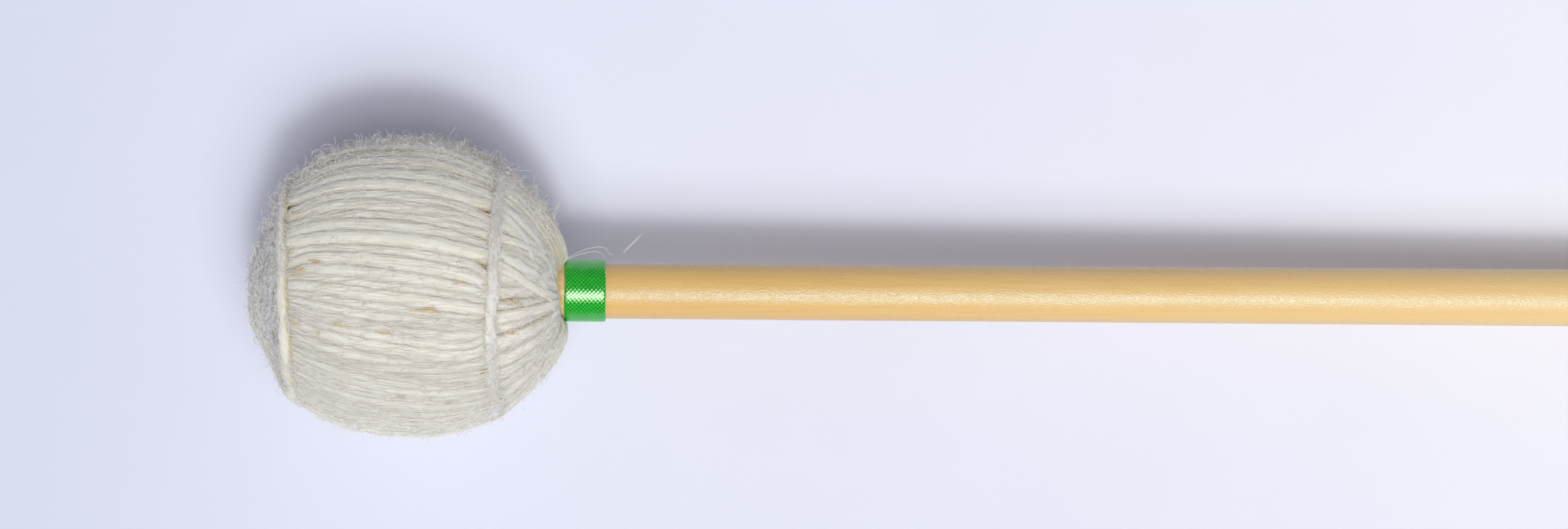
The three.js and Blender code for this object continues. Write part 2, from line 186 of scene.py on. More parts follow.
# Glue under the ribbon
GLUE_AHEAD = 0.9 * MM  # how far it stands out in front of the ribbon
GLUE_BEHIND = 0.14 * MM
GLUE_CLEARANCE = 0.02 * MM
GLUE_BEAD = 0.6 * MM  # how long its front edge rises
GLUE_BEAD_MIDDLE = 0.25 * MM
GLUE_BEAD_DROP = 0.14 * MM
GLUE_BACK_BEAD = 0.1 * MM
GLUE_BACK_DROP = 0.06 * MM
GLUE_EVEN_FRONT = 0.4 * MM  # from the ribbon's front edge, where the glue gets even
GLUE_EVEN_BACK = 0.5 * MM
GLUE_WAVE_SHARE = 0.012  # of its radius
GLUE_WAVE_RUN = 0.4 * MM

# How deep the materials' grain is, and how far light goes into them
YARN_GRAIN = 0.18 * MM
FIBRE_GRAIN = 0.15 * MM
YARN_GLOW = 1.0 * MM
VARNISH_GRAIN = 0.055 * MM
GLUE_GRAIN = 0.08 * MM
GLUE_GLOW = 0.5 * MM
RUBBER_GRAIN = 0.03 * MM

# The photograph
PHOTO_SIZE = (1962, 662)
PIXEL = 0.1 * MM  # at the height of the shaft's axis
TIP_PIXEL = 312  # column of the tip of the head
AXIS_PIXEL = 366  # row of the shaft's axis at the middle of the frame
VIEW_DISTANCE = 600 * MM
ROLL = math.radians(0.41)
SENSOR_WIDTH = 36  # in millimetres
NEAREST_VIEW = 10 * MM

# Table, and how far to the left of the picture it gets darker with painted shade, as a share of the picture's
# width
TABLE_SIZE = 4000 * MM
TABLE_SHADE_SHARE = 1.5

# Light
LIGHT_DISTANCE = 6000 * MM
LIGHT_ALONG = 50 * MM  # from the head towards the butt
LIGHT_TILT = math.radians(19)  # from straight up, towards the near side of the table
LIGHT_ASIDE = math.radians(5.5)  # and towards the butt
# A soft box and its bright middle: half the angle that each fills, and its share of the light on the table
LAMPS = {"softbox": (math.radians(18), 0.56), "softbox_middle": (math.radians(4.5), 0.23)}
LIGHT_COLOUR = (1.005, 1, 0.975)
SKY_LEVEL = 0.24
SKY_COLOUR = (1.02, 0.98, 1.08)

# Where the two bindings run over the visible side of the head
TIP_RING_PIXELS = [(355, 228), (350, 300), (353, 338), (350, 368), (354, 402), (356, 450), (364, 493)]
NECK_RING_PIXELS = [(627, 226), (625, 240), (620, 300), (618, 360), (614, 400), (617, 470), (623, 520)]
# Where the tip binding is pinched
TIP_PINCH_PIXELS = [(352, 275), (353, 338), (354, 402), (358, 460)]

# Where the photograph shows the darker yarn under the outer strands: tan marks, partly that yarn's own colour
# and partly painted shade of the slits
MARK_PIXELS = [
    (370, 340), (376, 337), (394, 327), (364, 267), (366, 404), (421, 407), (488, 418), (524, 391),
    (532, 388), (572, 354), (605, 355), (616, 234), (606, 266), (611, 466), (639, 378), (648, 380),
    (668, 391), (679, 400), (642, 419), (667, 341),
]
# Strands that lie over the others at the neck, from the neck binding to the ribbon
FRONT_STRAND_PIXELS = [
    [(622, 262), (645, 280), (660, 304), (672, 340)],
    [(624, 254), (655, 280), (675, 303), (688, 332)],
    [(621, 318), (655, 334), (681, 358), (704, 396)],
    [(712, 320), (690, 337), (660, 357), (621, 374)],
]
# Fibres that stand off the head over the table
STRAY_FIBRE_PIXELS = [
    [(704, 326), (716, 320), (730, 313), (748, 309), (758, 311), (762, 317), (766, 319)],
    [(780, 316), (786, 310), (795, 301), (803, 293)],
    [(702, 330), (716, 322), (734, 316), (748, 315), (758, 321)],
]

rng = np.random.default_rng(7)


# The mallet's own frame: along its axis from the tip of the head, then across, then up.
butt = next(m for m in frame["record"]["mounts"] if m["name"] == "butt_end")
axis = Vector(butt["axis"]).normalized()
tip = Vector(butt["pos_m"]) - MALLET_LENGTH * axis
across = Vector((0, 1, 0))
own_axes = np.array([axis, across, axis.cross(across)])


def to_world(points):
    return points @ own_axes + np.array(tip)


def to_own(points):
    return (points - np.array(tip)) @ own_axes.T


def unit(vectors):
    return vectors / np.maximum(np.linalg.norm(vectors, axis=-1, keepdims=True), 1e-12)


def smooth(value):
    """0 below 0, 1 above 1, and a smooth rise between."""
    value = np.clip(value, 0, 1)
    return value * value * (3 - 2 * value)


# The head's surface
def spline(points, steps):
    """A smooth curve through points, as steps points between each two."""
    points = np.array(points, float)
    ends = np.vstack([2 * points[0] - points[1], points, 2 * points[-1] - points[-2]])
    t = np.linspace(0, 1, steps, endpoint=False)[:, None]
    parts = []
    for a, b, c, d in zip(ends, ends[1:], ends[2:], ends[3:]):
        parts.append(b + (c - a) / 2 * t + (a - 2.5 * b + 2 * c - d / 2) * t**2
                     + (1.5 * (b - c) + (d - a) / 2) * t**3)
    return np.vstack([*parts, points[-1:]])


outline = spline(OUTLINE_SHARES, 24) * [HEAD_LENGTH, HEAD_RADIUS]
outline_run = np.concatenate([[0], np.cumsum(np.linalg.norm(np.diff(outline, axis=0), axis=1))])
outline_way = unit(np.gradient(outline, outline_run, axis=0))
lean_line = spline(LEAN_SHARES, 12) * [HEAD_LENGTH, HEAD_RADIUS]
neck_edge = spline(NECK_EDGE_SHARES, 12) * [1, NECK_REACH]
HEAD_RUN = outline_run[-1]
TIP_RUN, NECK_RUN = np.interp(np.array([TIP_BINDING_SHARE, NECK_BINDING_SHARE]) * HEAD_LENGTH, outline[:, 0],
                              outline_run)


def neck_share(along):
    """0 along the head, and up to 1 where the yarn reaches down the shaft."""
    return smooth((along / HEAD_LENGTH - NECK_START_SHARE) / (1 - NECK_START_SHARE))


def on_head(run, angle, depth=0.0):
    """Points on the head, in the mallet's frame, and the way out of its surface there. run is the distance
    from the tip over the surface, and angle is round the axis from straight up."""
    run, angle, depth = np.broadcast_arrays(run, angle, depth)
    beyond = np.maximum(run - HEAD_RUN, 0)
    along, radius = (np.interp(run, outline_run, outline[:, k]) for k in (0, 1))
    way_along, way_radius = (np.interp(run, outline_run, outline_way[:, k]) for k in (0, 1))
    along = along + way_radius * depth
    radius = radius - way_along * depth - beyond
    y, z = -np.sin(angle), np.cos(angle)
    lean = np.interp(along, lean_line[:, 0], lean_line[:, 1])
    reach = np.interp(y, neck_edge[:, 0], neck_edge[:, 1]) * neck_share(along)
    points = np.stack([along + reach, radius * y + lean, radius * z], -1)
    outward = np.stack([-way_radius, way_along * y, way_along * z], -1)
    return points, unit(outward)


def radius_at(run):
    return np.interp(run, outline_run, outline[:, 1])


def wander(count, steps, waves):
    """Smooth random curves between about -1 and 1, one a row."""
    share = np.linspace(0, 1, steps)
    total = np.zeros((count, steps))
    for wave in range(1, waves + 1):
        phase = rng.uniform(0, TURN, (count, 1))
        size = rng.normal(0, 1, (count, 1)) / wave
        total += size * np.sin(TURN * wave * share / 2 + phase)
    return total / 1.6


# The camera's view, straight down
view_middle = (tip + axis * ((PHOTO_SIZE[0] / 2 - TIP_PIXEL) * PIXEL)
               + across * ((AXIS_PIXEL - PHOTO_SIZE[1] / 2) * PIXEL))
camera_place = view_middle + Vector((0, 0, VIEW_DISTANCE))
view_right = np.array((math.cos(ROLL), math.sin(ROLL), 0))
view_up = np.array((-math.sin(ROLL), math.cos(ROLL), 0))


def in_photo(points):
    """Where points of the mallet's frame show in the photograph."""
    seen = to_world(points) - np.array(camera_place)
    scale = -VIEW_DISTANCE / PIXEL / seen[..., 2]
    right, up = seen @ view_right * scale, seen @ view_up * scale
    return np.stack([PHOTO_SIZE[0] / 2 + right, PHOTO_SIZE[1] / 2 - up], -1)


def from_photo(pixels, height):
    """Points of the mallet's frame that show at pixels, at a height over the shaft's axis."""
    pixels = np.array(pixels, float)
    level = view_middle.z + height
    scale = (camera_place.z - level) / VIEW_DISTANCE * PIXEL
    right = (pixels[:, :1] - PHOTO_SIZE[0] / 2) * scale
    up = (PHOTO_SIZE[1] / 2 - pixels[:, 1:]) * scale
    world = np.array(camera_place) + right * view_right + up * view_up
    world[:, 2] = level
    return to_own(world)


grid_run, grid_angle = np.meshgrid(np.linspace(0, HEAD_RUN, 360), np.linspace(-TURN / 4, TURN / 4, 360),
                                   indexing="ij")
grid_pixels = in_photo(on_head(grid_run, grid_angle)[0])


def seen_at(pixel):
    """The run and the angle of the place on the head that shows at a pixel."""
    nearest = np.argmin(((grid_pixels - pixel) ** 2).sum(-1))
    return grid_run.flat[nearest], grid_angle.flat[nearest]


tip_ring = np.array([seen_at(pixel) for pixel in TIP_RING_PIXELS])
neck_ring = np.array([seen_at(pixel) for pixel in NECK_RING_PIXELS])


def tip_line(angle):
    """The run of the tip binding at an angle."""
    return np.interp(angle, tip_ring[:, 1], tip_ring[:, 0], period=TURN)


def neck_line(angle):
    """The run of the neck binding at an angle."""
    return np.interp(angle, neck_ring[:, 1], neck_ring[:, 0], period=TURN)


# Meshes
def mesh_piece(name, points, faces, material, replaces=(), slot=None, uv=None, height=None):
    mesh = bpy.data.meshes.new(name)
    mesh.from_pydata(to_world(points.reshape(-1, 3)), [], faces)
    if uv is not None:
        mesh.uv_layers.new(name="yarn_map").uv.foreach_set("vector", uv.astype(np.float32).ravel())
    if height is not None:
        values = mesh.attributes.new("height", "FLOAT", "POINT")
        values.data.foreach_set("value", height.astype(np.float32).ravel())
    mesh.shade_smooth()
    mesh.materials.append(material)
    mesh.update()
    piece = bpy.data.objects.new(name, mesh)
    bpy.context.scene.collection.objects.link(piece)
    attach(piece, "root")
    if replaces:
        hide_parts(*replaces)
    return piece


def rest_on_table(points, height=0.0):
    """Presses what would reach below a height over the table flat there."""
    world = to_world(points)
    world[..., 2] = np.maximum(world[..., 2], height)
    return to_own(world)


def ring_faces(count, rings, sides):
    """Faces between the rings of points of tubes laid out as (count, rings, sides)."""
    start = (np.arange(count)[:, None, None] * rings + np.arange(rings - 1)[:, None]) * sides
    side = np.arange(sides)
    after = (side + 1) % sides
    corners = [start + side, start + after, start + sides + after, start + sides + side]
    return np.stack(corners, -1).reshape(-1, 4)


def tube_faces(count, rings, sides):
    """Faces of tubes laid out as (count, rings, sides), with closed ends."""
    start = np.arange(count)[:, None] * rings * sides
    first = (start + np.arange(sides)[::-1]).tolist()
    last = (start + (rings - 1) * sides + np.arange(sides)).tolist()
    return ring_faces(count, rings, sides).tolist() + first + last


def strand_points(centres, outward, width, height, sides, ply_depth, pitch):
    """Rings of points round each centre line, as (strand, ring, side). The section is an oval, with plies
    that twist round it."""
    forward = unit(np.gradient(centres, axis=1))
    side = unit(np.cross(forward, outward))
    up = unit(np.cross(side, forward))
    step = np.linalg.norm(np.diff(centres, axis=1), axis=2)
    run = np.concatenate([np.zeros((len(centres), 1)), np.cumsum(step, axis=1)], 1)
    around = (np.arange(sides) + 0.5) * TURN / sides - TURN / 4
    phase = rng.uniform(0, TURN, (len(centres), 1))
    turned = around - (run * TURN / pitch + phase)[..., None]
    grow = 1 - ply_depth * (1 - np.abs(np.cos(1.5 * turned)))
    x = np.cos(around) * grow * (width / 2)[..., None]
    y = np.sin(around) * grow * (height / 2)[..., None]
    points = centres[:, :, None] + side[:, :, None] * x[..., None] + up[:, :, None] * y[..., None]
    return points, run, np.broadcast_to((np.sin(around) + 1) / 2, points.shape[:3])


def strands(name, centres, outward, width, height, material, sides=14, ply_depth=0.1, pitch=PLY_PITCH,
            **facts):
    """One piece of many strands. Its map runs along each strand in millimetres and round it in turns."""
    points, run, rise = strand_points(centres, outward, width, height, sides, ply_depth, pitch)
    count, rings = centres.shape[:2]
    u0 = np.arange(count)[:, None, None] + np.arange(sides) / sides
    u1 = u0 + 1 / sides
    v0, v1 = run[:, :-1, None] / MM, run[:, 1:, None] / MM
    shape = (count, rings - 1, sides)
    uv = np.stack([np.stack([np.broadcast_to(u, shape), np.broadcast_to(v, shape)], -1)
                   for u, v in ((u0, v0), (u1, v0), (u1, v1), (u0, v1))], -2).reshape(-1, 2)
    ends = np.zeros((2 * count * sides, 2))
    return mesh_piece(name, rest_on_table(points), tube_faces(count, rings, sides), material,
                      uv=np.vstack([uv, ends]), height=rise, slot="wool", **facts)


def fibres(name, centres, radius, material):
    """Thin three-sided fibres round centre lines, finer at their ends."""
    centres = rest_on_table(centres, radius)
    forward = unit(np.gradient(centres, axis=1))
    side = unit(np.cross(forward, unit(rng.normal(size=(len(centres), 1, 3)))))
    up = np.cross(side, forward)
    around = np.arange(3) * TURN / 3
    taper = radius * np.sin(np.linspace(0.25, math.pi - 0.25, centres.shape[1]))[:, None, None] ** 0.5
    ring = side[:, :, None] * np.cos(around)[:, None] + up[:, :, None] * np.sin(around)[:, None]
    points = centres[:, :, None] + taper * ring
    return mesh_piece(name, points, tube_faces(*centres.shape[:2], 3), material, slot="wool")


# Materials
def new_material(name):
    material = bpy.data.materials.new(name)
    material.use_nodes = True
    nodes, links = material.node_tree.nodes, material.node_tree.links
    return material, nodes, links, nodes["Principled BSDF"]


def body_place(nodes):
    """Where a point is in the part's own frame."""
    return nodes.new("ShaderNodeTexCoord").outputs["Object"]


def noise(nodes, links, vector, scale, detail=3.0, roughness=0.5, stretch=None):
    """A noise texture over a vector, which may be stretched first."""
    if stretch:
        mapping = nodes.new("ShaderNodeMapping")
        mapping.inputs["Scale"].default_value = stretch
        links.new(vector, mapping.inputs["Vector"])
        vector = mapping.outputs["Vector"]
    texture = nodes.new("ShaderNodeTexNoise")
    texture.inputs["Scale"].default_value = scale
    texture.inputs["Detail"].default_value = detail
    texture.inputs["Roughness"].default_value = roughness
    links.new(vector, texture.inputs["Vector"])
    return texture.outputs["Fac"]


def ramp(nodes, links, value, stops):
    """Colours for a value, at places from 0 to 1."""
    node = nodes.new("ShaderNodeValToRGB")
    links.new(value, node.inputs["Fac"])
    elements = node.color_ramp.elements
    for element, (place, colour) in zip([elements[0], elements[1]], [stops[0], stops[-1]]):
        element.position = place
        element.color = (*colour, 1)
    for place, colour in stops[1:-1]:
        elements.new(place).color = (*colour, 1)
    return node.outputs["Color"]


def mixed(nodes, links, share, first, second, blend="MIX"):
    node = nodes.new("ShaderNodeMix")
    node.data_type = "RGBA"
    node.blend_type = blend
    for socket, value in zip([node.inputs[k] for k in (0, 6, 7)], (share, first, second)):
        if isinstance(value, bpy.types.NodeSocket):
            links.new(value, socket)
        elif isinstance(value, tuple):
            socket.default_value = (*value, 1)
        else:
            socket.default_value = value
    return node.outputs[2]


def bump(nodes, links, shader, height, distance):
    node = nodes.new("ShaderNodeBump")
    node.inputs["Distance"].default_value = distance
    links.new(height, node.inputs["Height"])
    links.new(node.outputs["Normal"], shader.inputs["Normal"])


def linear(red, green, blue):
    """A colour as it shows, from 0 to 255, as the shader's own value."""
    return tuple(c / 12.92 if c <= 0.04045 else ((c + 0.055) / 1.055) ** 2.4
                 for c in (red / 255, green / 255, blue / 255))


BLACK = (0, 0, 0)
WHITE = (1, 1, 1)


def soft_surface(shader):
    """What all the wool shares: no gloss, and a pale bloom where it turns away."""
    shader.inputs["Roughness"].default_value = 0.9
    shader.inputs["Specular IOR Level"].default_value = 0.2
    shader.inputs["Sheen Weight"].default_value = 0.25
    shader.inputs["Sheen Roughness"].default_value = 0.5
    shader.inputs["Sheen Tint"].default_value = (*linear(244, 247, 255), 1)


def wool(name, light, shade, slit_shade):
    """Yarn with fibres that run along it. Painted shade darkens the low sides of each strand, between the
    strands, and lies in random spots along them.
    """
    material, nodes, links, shader = new_material(name)
    place = nodes.new("ShaderNodeUVMap")
    place.uv_map = "yarn_map"
    body = body_place(nodes)
    streaks = noise(nodes, links, place.outputs["UV"], 1.0, 4, 0.6, (26, 0.22, 1))
    patches = noise(nodes, links, body, 260, 3, 0.55)
    colour = ramp(nodes, links, streaks, [(0.36, shade), (0.56, light)])
    worn = ramp(nodes, links, patches, [(0.5, BLACK), (0.85, WHITE)])
    colour = mixed(nodes, links, worn, colour, light)
    # Random spots of the painted slit shade along the strands.
    shade_spot_noise = noise(nodes, links, place.outputs["UV"], 1.0, 2, 0.5, (2.2, 0.3, 1))
    shade_spots = ramp(nodes, links, shade_spot_noise, [(0.68, BLACK), (0.76, WHITE)])
    colour = mixed(nodes, links, shade_spots, colour, slit_shade)
    # Painted shade: the colour darkens towards the low sides of each strand, where it meets its neighbours.
    height = nodes.new("ShaderNodeAttribute")
    height.attribute_name = "height"
    crease_shade = ramp(nodes, links, height.outputs["Fac"], [(0.66, slit_shade), (0.93, WHITE)])
    links.new(mixed(nodes, links, 1.0, colour, crease_shade, "MULTIPLY"), shader.inputs["Base Color"])
    soft_surface(shader)
    shader.inputs["Subsurface Weight"].default_value = 0.4
    shader.inputs["Subsurface Radius"].default_value = (1.0, 0.9, 0.75)
    shader.inputs["Subsurface Scale"].default_value = YARN_GLOW
    bump(nodes, links, shader, streaks, YARN_GRAIN)
    return material


def plain_wool(name, light, shade, stretch):
    """Yarn without a map of its own: inner layers and loose fibres."""
    material, nodes, links, shader = new_material(name)
    body = body_place(nodes)
    streaks = noise(nodes, links, body, 700, 4, 0.6, stretch)
    links.new(ramp(nodes, links, streaks, [(0.3, shade), (0.7, light)]), shader.inputs["Base Color"])
    soft_surface(shader)
    bump(nodes, links, shader, streaks, FIBRE_GRAIN)
    return material


ALONG = (0.12, 1, 1)
EVENLY = (1, 1, 1)
# The last colour of each wool is the painted shade of the slits between its strands.
yarn = wool("yarn", linear(252, 249, 236), linear(230, 224, 203), linear(206, 197, 168))
white_yarn = wool("white_yarn", linear(255, 254, 247), linear(236, 231, 214), linear(232, 216, 178))
ring_yarn = wool("ring_yarn", linear(255, 255, 251), linear(242, 240, 231), linear(244, 239, 226))
# A greyer copy of the yarn for the strands over the tip: painted shade for the tip, which turns away from the
# light.
shaded_tip_yarn = wool("shaded_tip_yarn", linear(230, 230, 230), linear(206, 206, 205), linear(206, 200, 188))
shaded_deep_yarn = plain_wool("shaded_deep_yarn", linear(240, 216, 176), linear(212, 184, 144), ALONG)
slit_shade_yarn = plain_wool("slit_shade_yarn", linear(222, 206, 172), linear(196, 174, 138), ALONG)
fuzz = plain_wool("fuzz", linear(254, 253, 249), linear(250, 247, 239), EVENLY)


# Yarn under the outer strands, which shows in the slits between them. Its tan is partly the under layer's own
# colour and partly painted shade of the slits.
def under_yarn():
    rings, sides = 120, 240
    run = np.linspace(0, HEAD_RUN, rings)[1:, None]
    angle = np.linspace(0, TURN, sides, endpoint=False)
    depth = UNDER_DEPTH + UNDER_WAVE * np.sin(angle * 37 + run / UNDER_WAVE_RUN)
    points = on_head(run, angle, depth)[0].reshape(-1, 3)
    front = points[:sides].mean(0, keepdims=True)
    cap = [[0, (side + 1) % sides + 1, side + 1] for side in range(sides)]
    faces = (ring_faces(1, rings - 1, sides) + 1).tolist() + cap
    return mesh_piece("yarn_under_strands", rest_on_table(np.vstack([front, points])), faces, shaded_deep_yarn,
                      replaces=["yarn_cover_layer"], slot="inner_wool")


def twist(share):
    """How far round the head a strand has turned at a share of its way between the bindings."""
    return TWIST * (share - UNTWISTED_SHARE)


def widening(even):
    """How much wider than the average the strands are, at an angle that counts strands as equally wide."""
    return 1 + WIDER_SHARE * np.cos(even - FAR_SIDE)


def spread_round(even):
    """The angle round the head for an angle that counts strands as equally wide."""
    return even + WIDER_SHARE * np.sin(even - FAR_SIDE)


def head_strands():
    count, rings = HEAD_STRANDS + STEEP_STRANDS, 56
    share = np.linspace(0, 1, rings)[None]
    run = TIP_RUN + (NECK_RUN - TIP_RUN) * share
    pitch = TURN / HEAD_STRANDS
    steep = np.arange(count)[:, None] >= HEAD_STRANDS
    first_lane = np.where(steep, rng.uniform(0, HEAD_STRANDS, (count, 1)), np.arange(count)[:, None])
    crossing = np.where(steep, rng.uniform(*STEEP_LANES, (count, 1)) * rng.choice([-1, 1], (count, 1)),
                        rng.normal(0, LANE_DRIFT_SHARE, (count, 1)))
    lane = first_lane + rng.normal(0, LANE_JITTER_SHARE, (count, 1))
    lane = lane + crossing * (share - rng.uniform(0.2, 0.8, (count, 1)))
    lane = lane + LANE_JITTER_SHARE * wander(count, rings, 3)

    # The bindings gather the strands into bunches.
    near_end = np.minimum(run - TIP_RUN, NECK_RUN - run)
    gathered = np.exp(-((near_end / BUNCH_RUN) ** 2))
    bunch = np.cumsum(rng.random(HEAD_STRANDS) < BUNCH_START_SHARE)
    middles = np.array([np.flatnonzero(bunch == b).mean() for b in bunch])
    lane = lane + (middles[first_lane.astype(int)] - first_lane) * BUNCH_SHARE * gathered

    angle = spread_round(lane * pitch) + twist(share)
    wider = widening(lane * pitch)
    unevenness = rng.normal(0, STRAND_UNEVENNESS, (count, 1)) + STRAND_WAVE * wander(count, rings, 4)
    unevenness = unevenness * (wider / UNEVEN_LANE_SHARE) ** UNEVEN_POWER
    top = np.where(steep, STEEP_DEPTH, STRAND_DEPTH) - unevenness
    ends = np.exp(-((near_end / DIP_RUN) ** 2))
    height = STRAND_HEIGHT * wider**HEIGHT_POWER * (1 + 0.05 * wander(count, rings, 5))
    depth = height / 2 + top + STRAND_DIP * ends
    run = tip_line(angle) + (neck_line(angle) - tip_line(angle)) * share
    centres, outward = on_head(run, angle, depth)
    spread = SPREAD_SHARE - SPREAD_FALL_SHARE * wider - 0.2 * ends
    spread = spread + rng.normal(0, 0.1, (count, 1)) + 0.06 * wander(count, rings, 4)
    width = radius_at(run) * pitch * wider * spread
    return strands("head_strands", centres, outward, width, height, yarn, ply_depth=0.08,
                   replaces=["head_winding"])


def tip_strands():
    count, rings = TIP_CHORDS, 40
    reach = TIP_RUN + UNDER_BINDING
    way = rng.uniform(0, TURN, (count, 1))
    off = rng.uniform(-1, 1, (count, 1)) * TIP_CHORD_ASIDE
    half = np.sqrt(reach**2 - off**2)
    t = np.linspace(-1, 1, rings) * half
    bend = off + TIP_CHORD_BEND * wander(count, rings, 3)
    x = t * np.cos(way) - bend * np.sin(way)
    y = t * np.sin(way) + bend * np.cos(way)
    angle = np.arctan2(y, x)
    run = np.hypot(x, y) * tip_line(angle) / TIP_RUN
    depth = TIP_DEPTH + TIP_DEPTH_RANGE * rng.uniform(0, 1, (count, 1))
    depth = depth + TIP_DIP * np.exp(-(((reach - run) / DIP_RUN) ** 2))
    centres, outward = on_head(run, angle, depth)
    width = TIP_STRAND_WIDTH * (1 + rng.normal(0, 0.1, (count, 1)) + 0.08 * wander(count, rings, 5))
    return strands("tip_strands", centres, outward, width, width * TIP_HEIGHT_SHARE, shaded_tip_yarn, sides=12,
                   ply_depth=0.12, pitch=TIP_PLY_PITCH, replaces=["tip_winding"])


def cone_family(name, lane, sweep, depth, widths, material, **facts):
    """Strands from the neck binding to the ribbon. widths are those at the two ends, and sweep is how far
    they turn round the head."""
    count, rings = lane.shape
    share = np.linspace(0, 1, rings)
    angle = lane + sweep * share**1.3
    start = neck_line(angle) - UNDER_BINDING
    run = start + (HEAD_RUN + CONE_TUCK - start) * share
    at_binding = np.exp(-(((run - start) / CONE_DIP_RUN) ** 2))
    centres, outward = on_head(run, angle, depth + CONE_DIP * at_binding)
    width = (widths[0] + (widths[1] - widths[0]) * share**0.8) * (1 + rng.normal(0, 0.12, (count, 1)))
    return strands(name, centres, outward, width, np.full_like(width, CONE_STRAND_HEIGHT), material, sides=12,
                   **facts)


def cone_strands():
    count, rings = CONE_STRANDS, 36
    lane = np.arange(count)[:, None] + rng.normal(0, 0.14, (count, 1)) + 0.1 * wander(count, rings, 3)
    cone_family("cone_strands", lane * TURN / count, rng.normal(0, 0.04, (count, 1)),
                rng.uniform(*CONE_DEPTHS, (count, 1)), CONE_WIDTHS, yarn, replaces=["neck_winding"])
    count = CROSSING_STRANDS
    lane = rng.uniform(0, TURN, (count, 1)) + 0.05 * wander(count, rings, 2)
    cone_family("cone_crossings", lane, rng.normal(0, 0.35, (count, 1)),
                rng.uniform(*CROSSING_DEPTHS, (count, 1)), CROSSING_WIDTHS, yarn)


def front_strands():
    paths = np.array([[seen_at(pixel) for pixel in path] for path in FRONT_STRAND_PIXELS])
    lines = np.array([spline(path, 11) for path in paths])
    share = np.linspace(0, 1, lines.shape[1])
    ends = np.exp(-((np.minimum(share, 1 - share) / 0.1) ** 2))
    depth = FRONT_DEPTH + FRONT_DIP * ends + np.zeros((len(lines), 1))
    centres, outward = on_head(lines[..., 0], lines[..., 1], depth)
    width = FRONT_WIDTH * (1 - 0.2 * share) * (1 - 0.3 * ends) * (1 + rng.normal(0, 0.1, (len(lines), 1)))
    return strands("front_strands", centres, outward, width, width * FRONT_HEIGHT_SHARE, white_yarn,
                   ply_depth=0.12)


def slit_shade_marks():
    """Tan marks where yarn from under the outer strands shows between them: partly that yarn's own colour and
    partly painted shade of the slits.
    """
    places = [seen_at(pixel) for pixel in MARK_PIXELS]
    unseen = rng.uniform(TURN / 4, TURN * 3 / 4, UNSEEN_MARKS)
    places += [(rng.uniform(TIP_RUN, HEAD_RUN), angle) for angle in unseen]
    start, angle = np.repeat(places, 3, axis=0).T[..., None]
    count, rings = len(start), 12
    share = np.linspace(-0.5, 0.5, rings)
    length = rng.uniform(*MARK_LENGTHS, (count, 1))
    run = start + rng.normal(0, MARK_SPREAD, (count, 1)) + length * share
    slant = np.where(start > NECK_RUN, 0.3, 0.1)
    aside = rng.normal(0, MARK_ASIDE, (count, 1)) + slant * length * share
    centres, outward = on_head(run, angle + aside / radius_at(start), MARK_DEPTH)
    width = MARK_WIDTH * np.sin(math.pi * (share + 0.5) * 0.96 + 0.06) + np.zeros((count, 1))
    return strands("slit_shade_marks", centres, outward, width, width * MARK_HEIGHT_SHARE, slit_shade_yarn, sides=8)


def binding(name, line, pinches, material, replaces, width, height, depth, wobble, pitch):
    """A turn of yarn round the head, narrower at the angles of its pinches."""
    rings = 300
    angle = np.linspace(TURN / 2, TURN * 1.51, rings)[None]
    phase = rng.uniform(0, TURN)
    run = line(angle) + wobble * (np.sin(angle * 13 + phase) + 0.6 * np.sin(angle * 7 + 2 * phase)) / 1.6
    centres, outward = on_head(run, angle, depth - RING_WAVE * np.sin(angle * 5 + phase))
    width = width * (1 + 0.1 * np.sin(angle * 16 + phase) + 0.06 * wander(1, rings, 30))
    for pinch in pinches:
        width = width * (1 - 0.4 * np.exp(-(((angle - pinch + TURN / 2) % TURN - TURN / 2) / 0.05) ** 2))
    return strands(name, centres, outward, width, np.full_like(width, height), material, sides=16,
                   ply_depth=0.16, pitch=pitch, replaces=replaces)


def laid_fibres(name, run, angle, turned, length, depth):
    """Fibres that lie on the yarn, turned by an angle from the way along the mallet."""
    count, steps = len(run), 6
    share = np.linspace(-0.5, 0.5, steps)
    size = length * rng.uniform(0.5, 1.5, (count, 1))
    run = np.clip(run + size * share * np.cos(turned), FIBRE_START, HEAD_RUN)
    aside = size * share * np.sin(turned) + LYING_BEND * wander(count, steps, 4)
    angle = angle + aside / np.maximum(radius_at(run), FIBRE_TURN_RADIUS)
    depth = depth * rng.uniform(-0.4, 1.0, (count, 1)) + LYING_WAVE * wander(count, steps, 2)
    return fibres(name, on_head(run, angle, depth)[0], LYING_RADIUS, fuzz)


def lying_fibres(name, count):
    """Fibres close to the way of the strands: any way at the tip, and more freely at the neck."""
    run = rng.uniform(0.07, 1.0, (count, 1)) * HEAD_RUN
    slant = np.where(run < TIP_RUN, 1.2, np.where(run < NECK_RUN, 0.14, 0.4))
    from_near_side = rng.uniform(-1, 1, (count, 1))
    angle = FAR_SIDE + TURN / 2 * (1 + np.sign(from_near_side) * np.abs(from_near_side) ** 1.7)
    return laid_fibres(name, run, angle, rng.normal(0, 1, (count, 1)) * slant, LYING_LENGTH, LYING_DEPTH)


def ring_fibres(name, line, count):
    """Fibres along a binding."""
    angle = rng.uniform(0, TURN, (count, 1))
    run = line(angle) + rng.normal(0, RING_FIBRE_SPREAD, (count, 1))
    turned = rng.normal(TURN / 4, 0.35, (count, 1))
    return laid_fibres(name, run, angle, turned, RING_FIBRE_LENGTH, -RING_FIBRE_RISE)


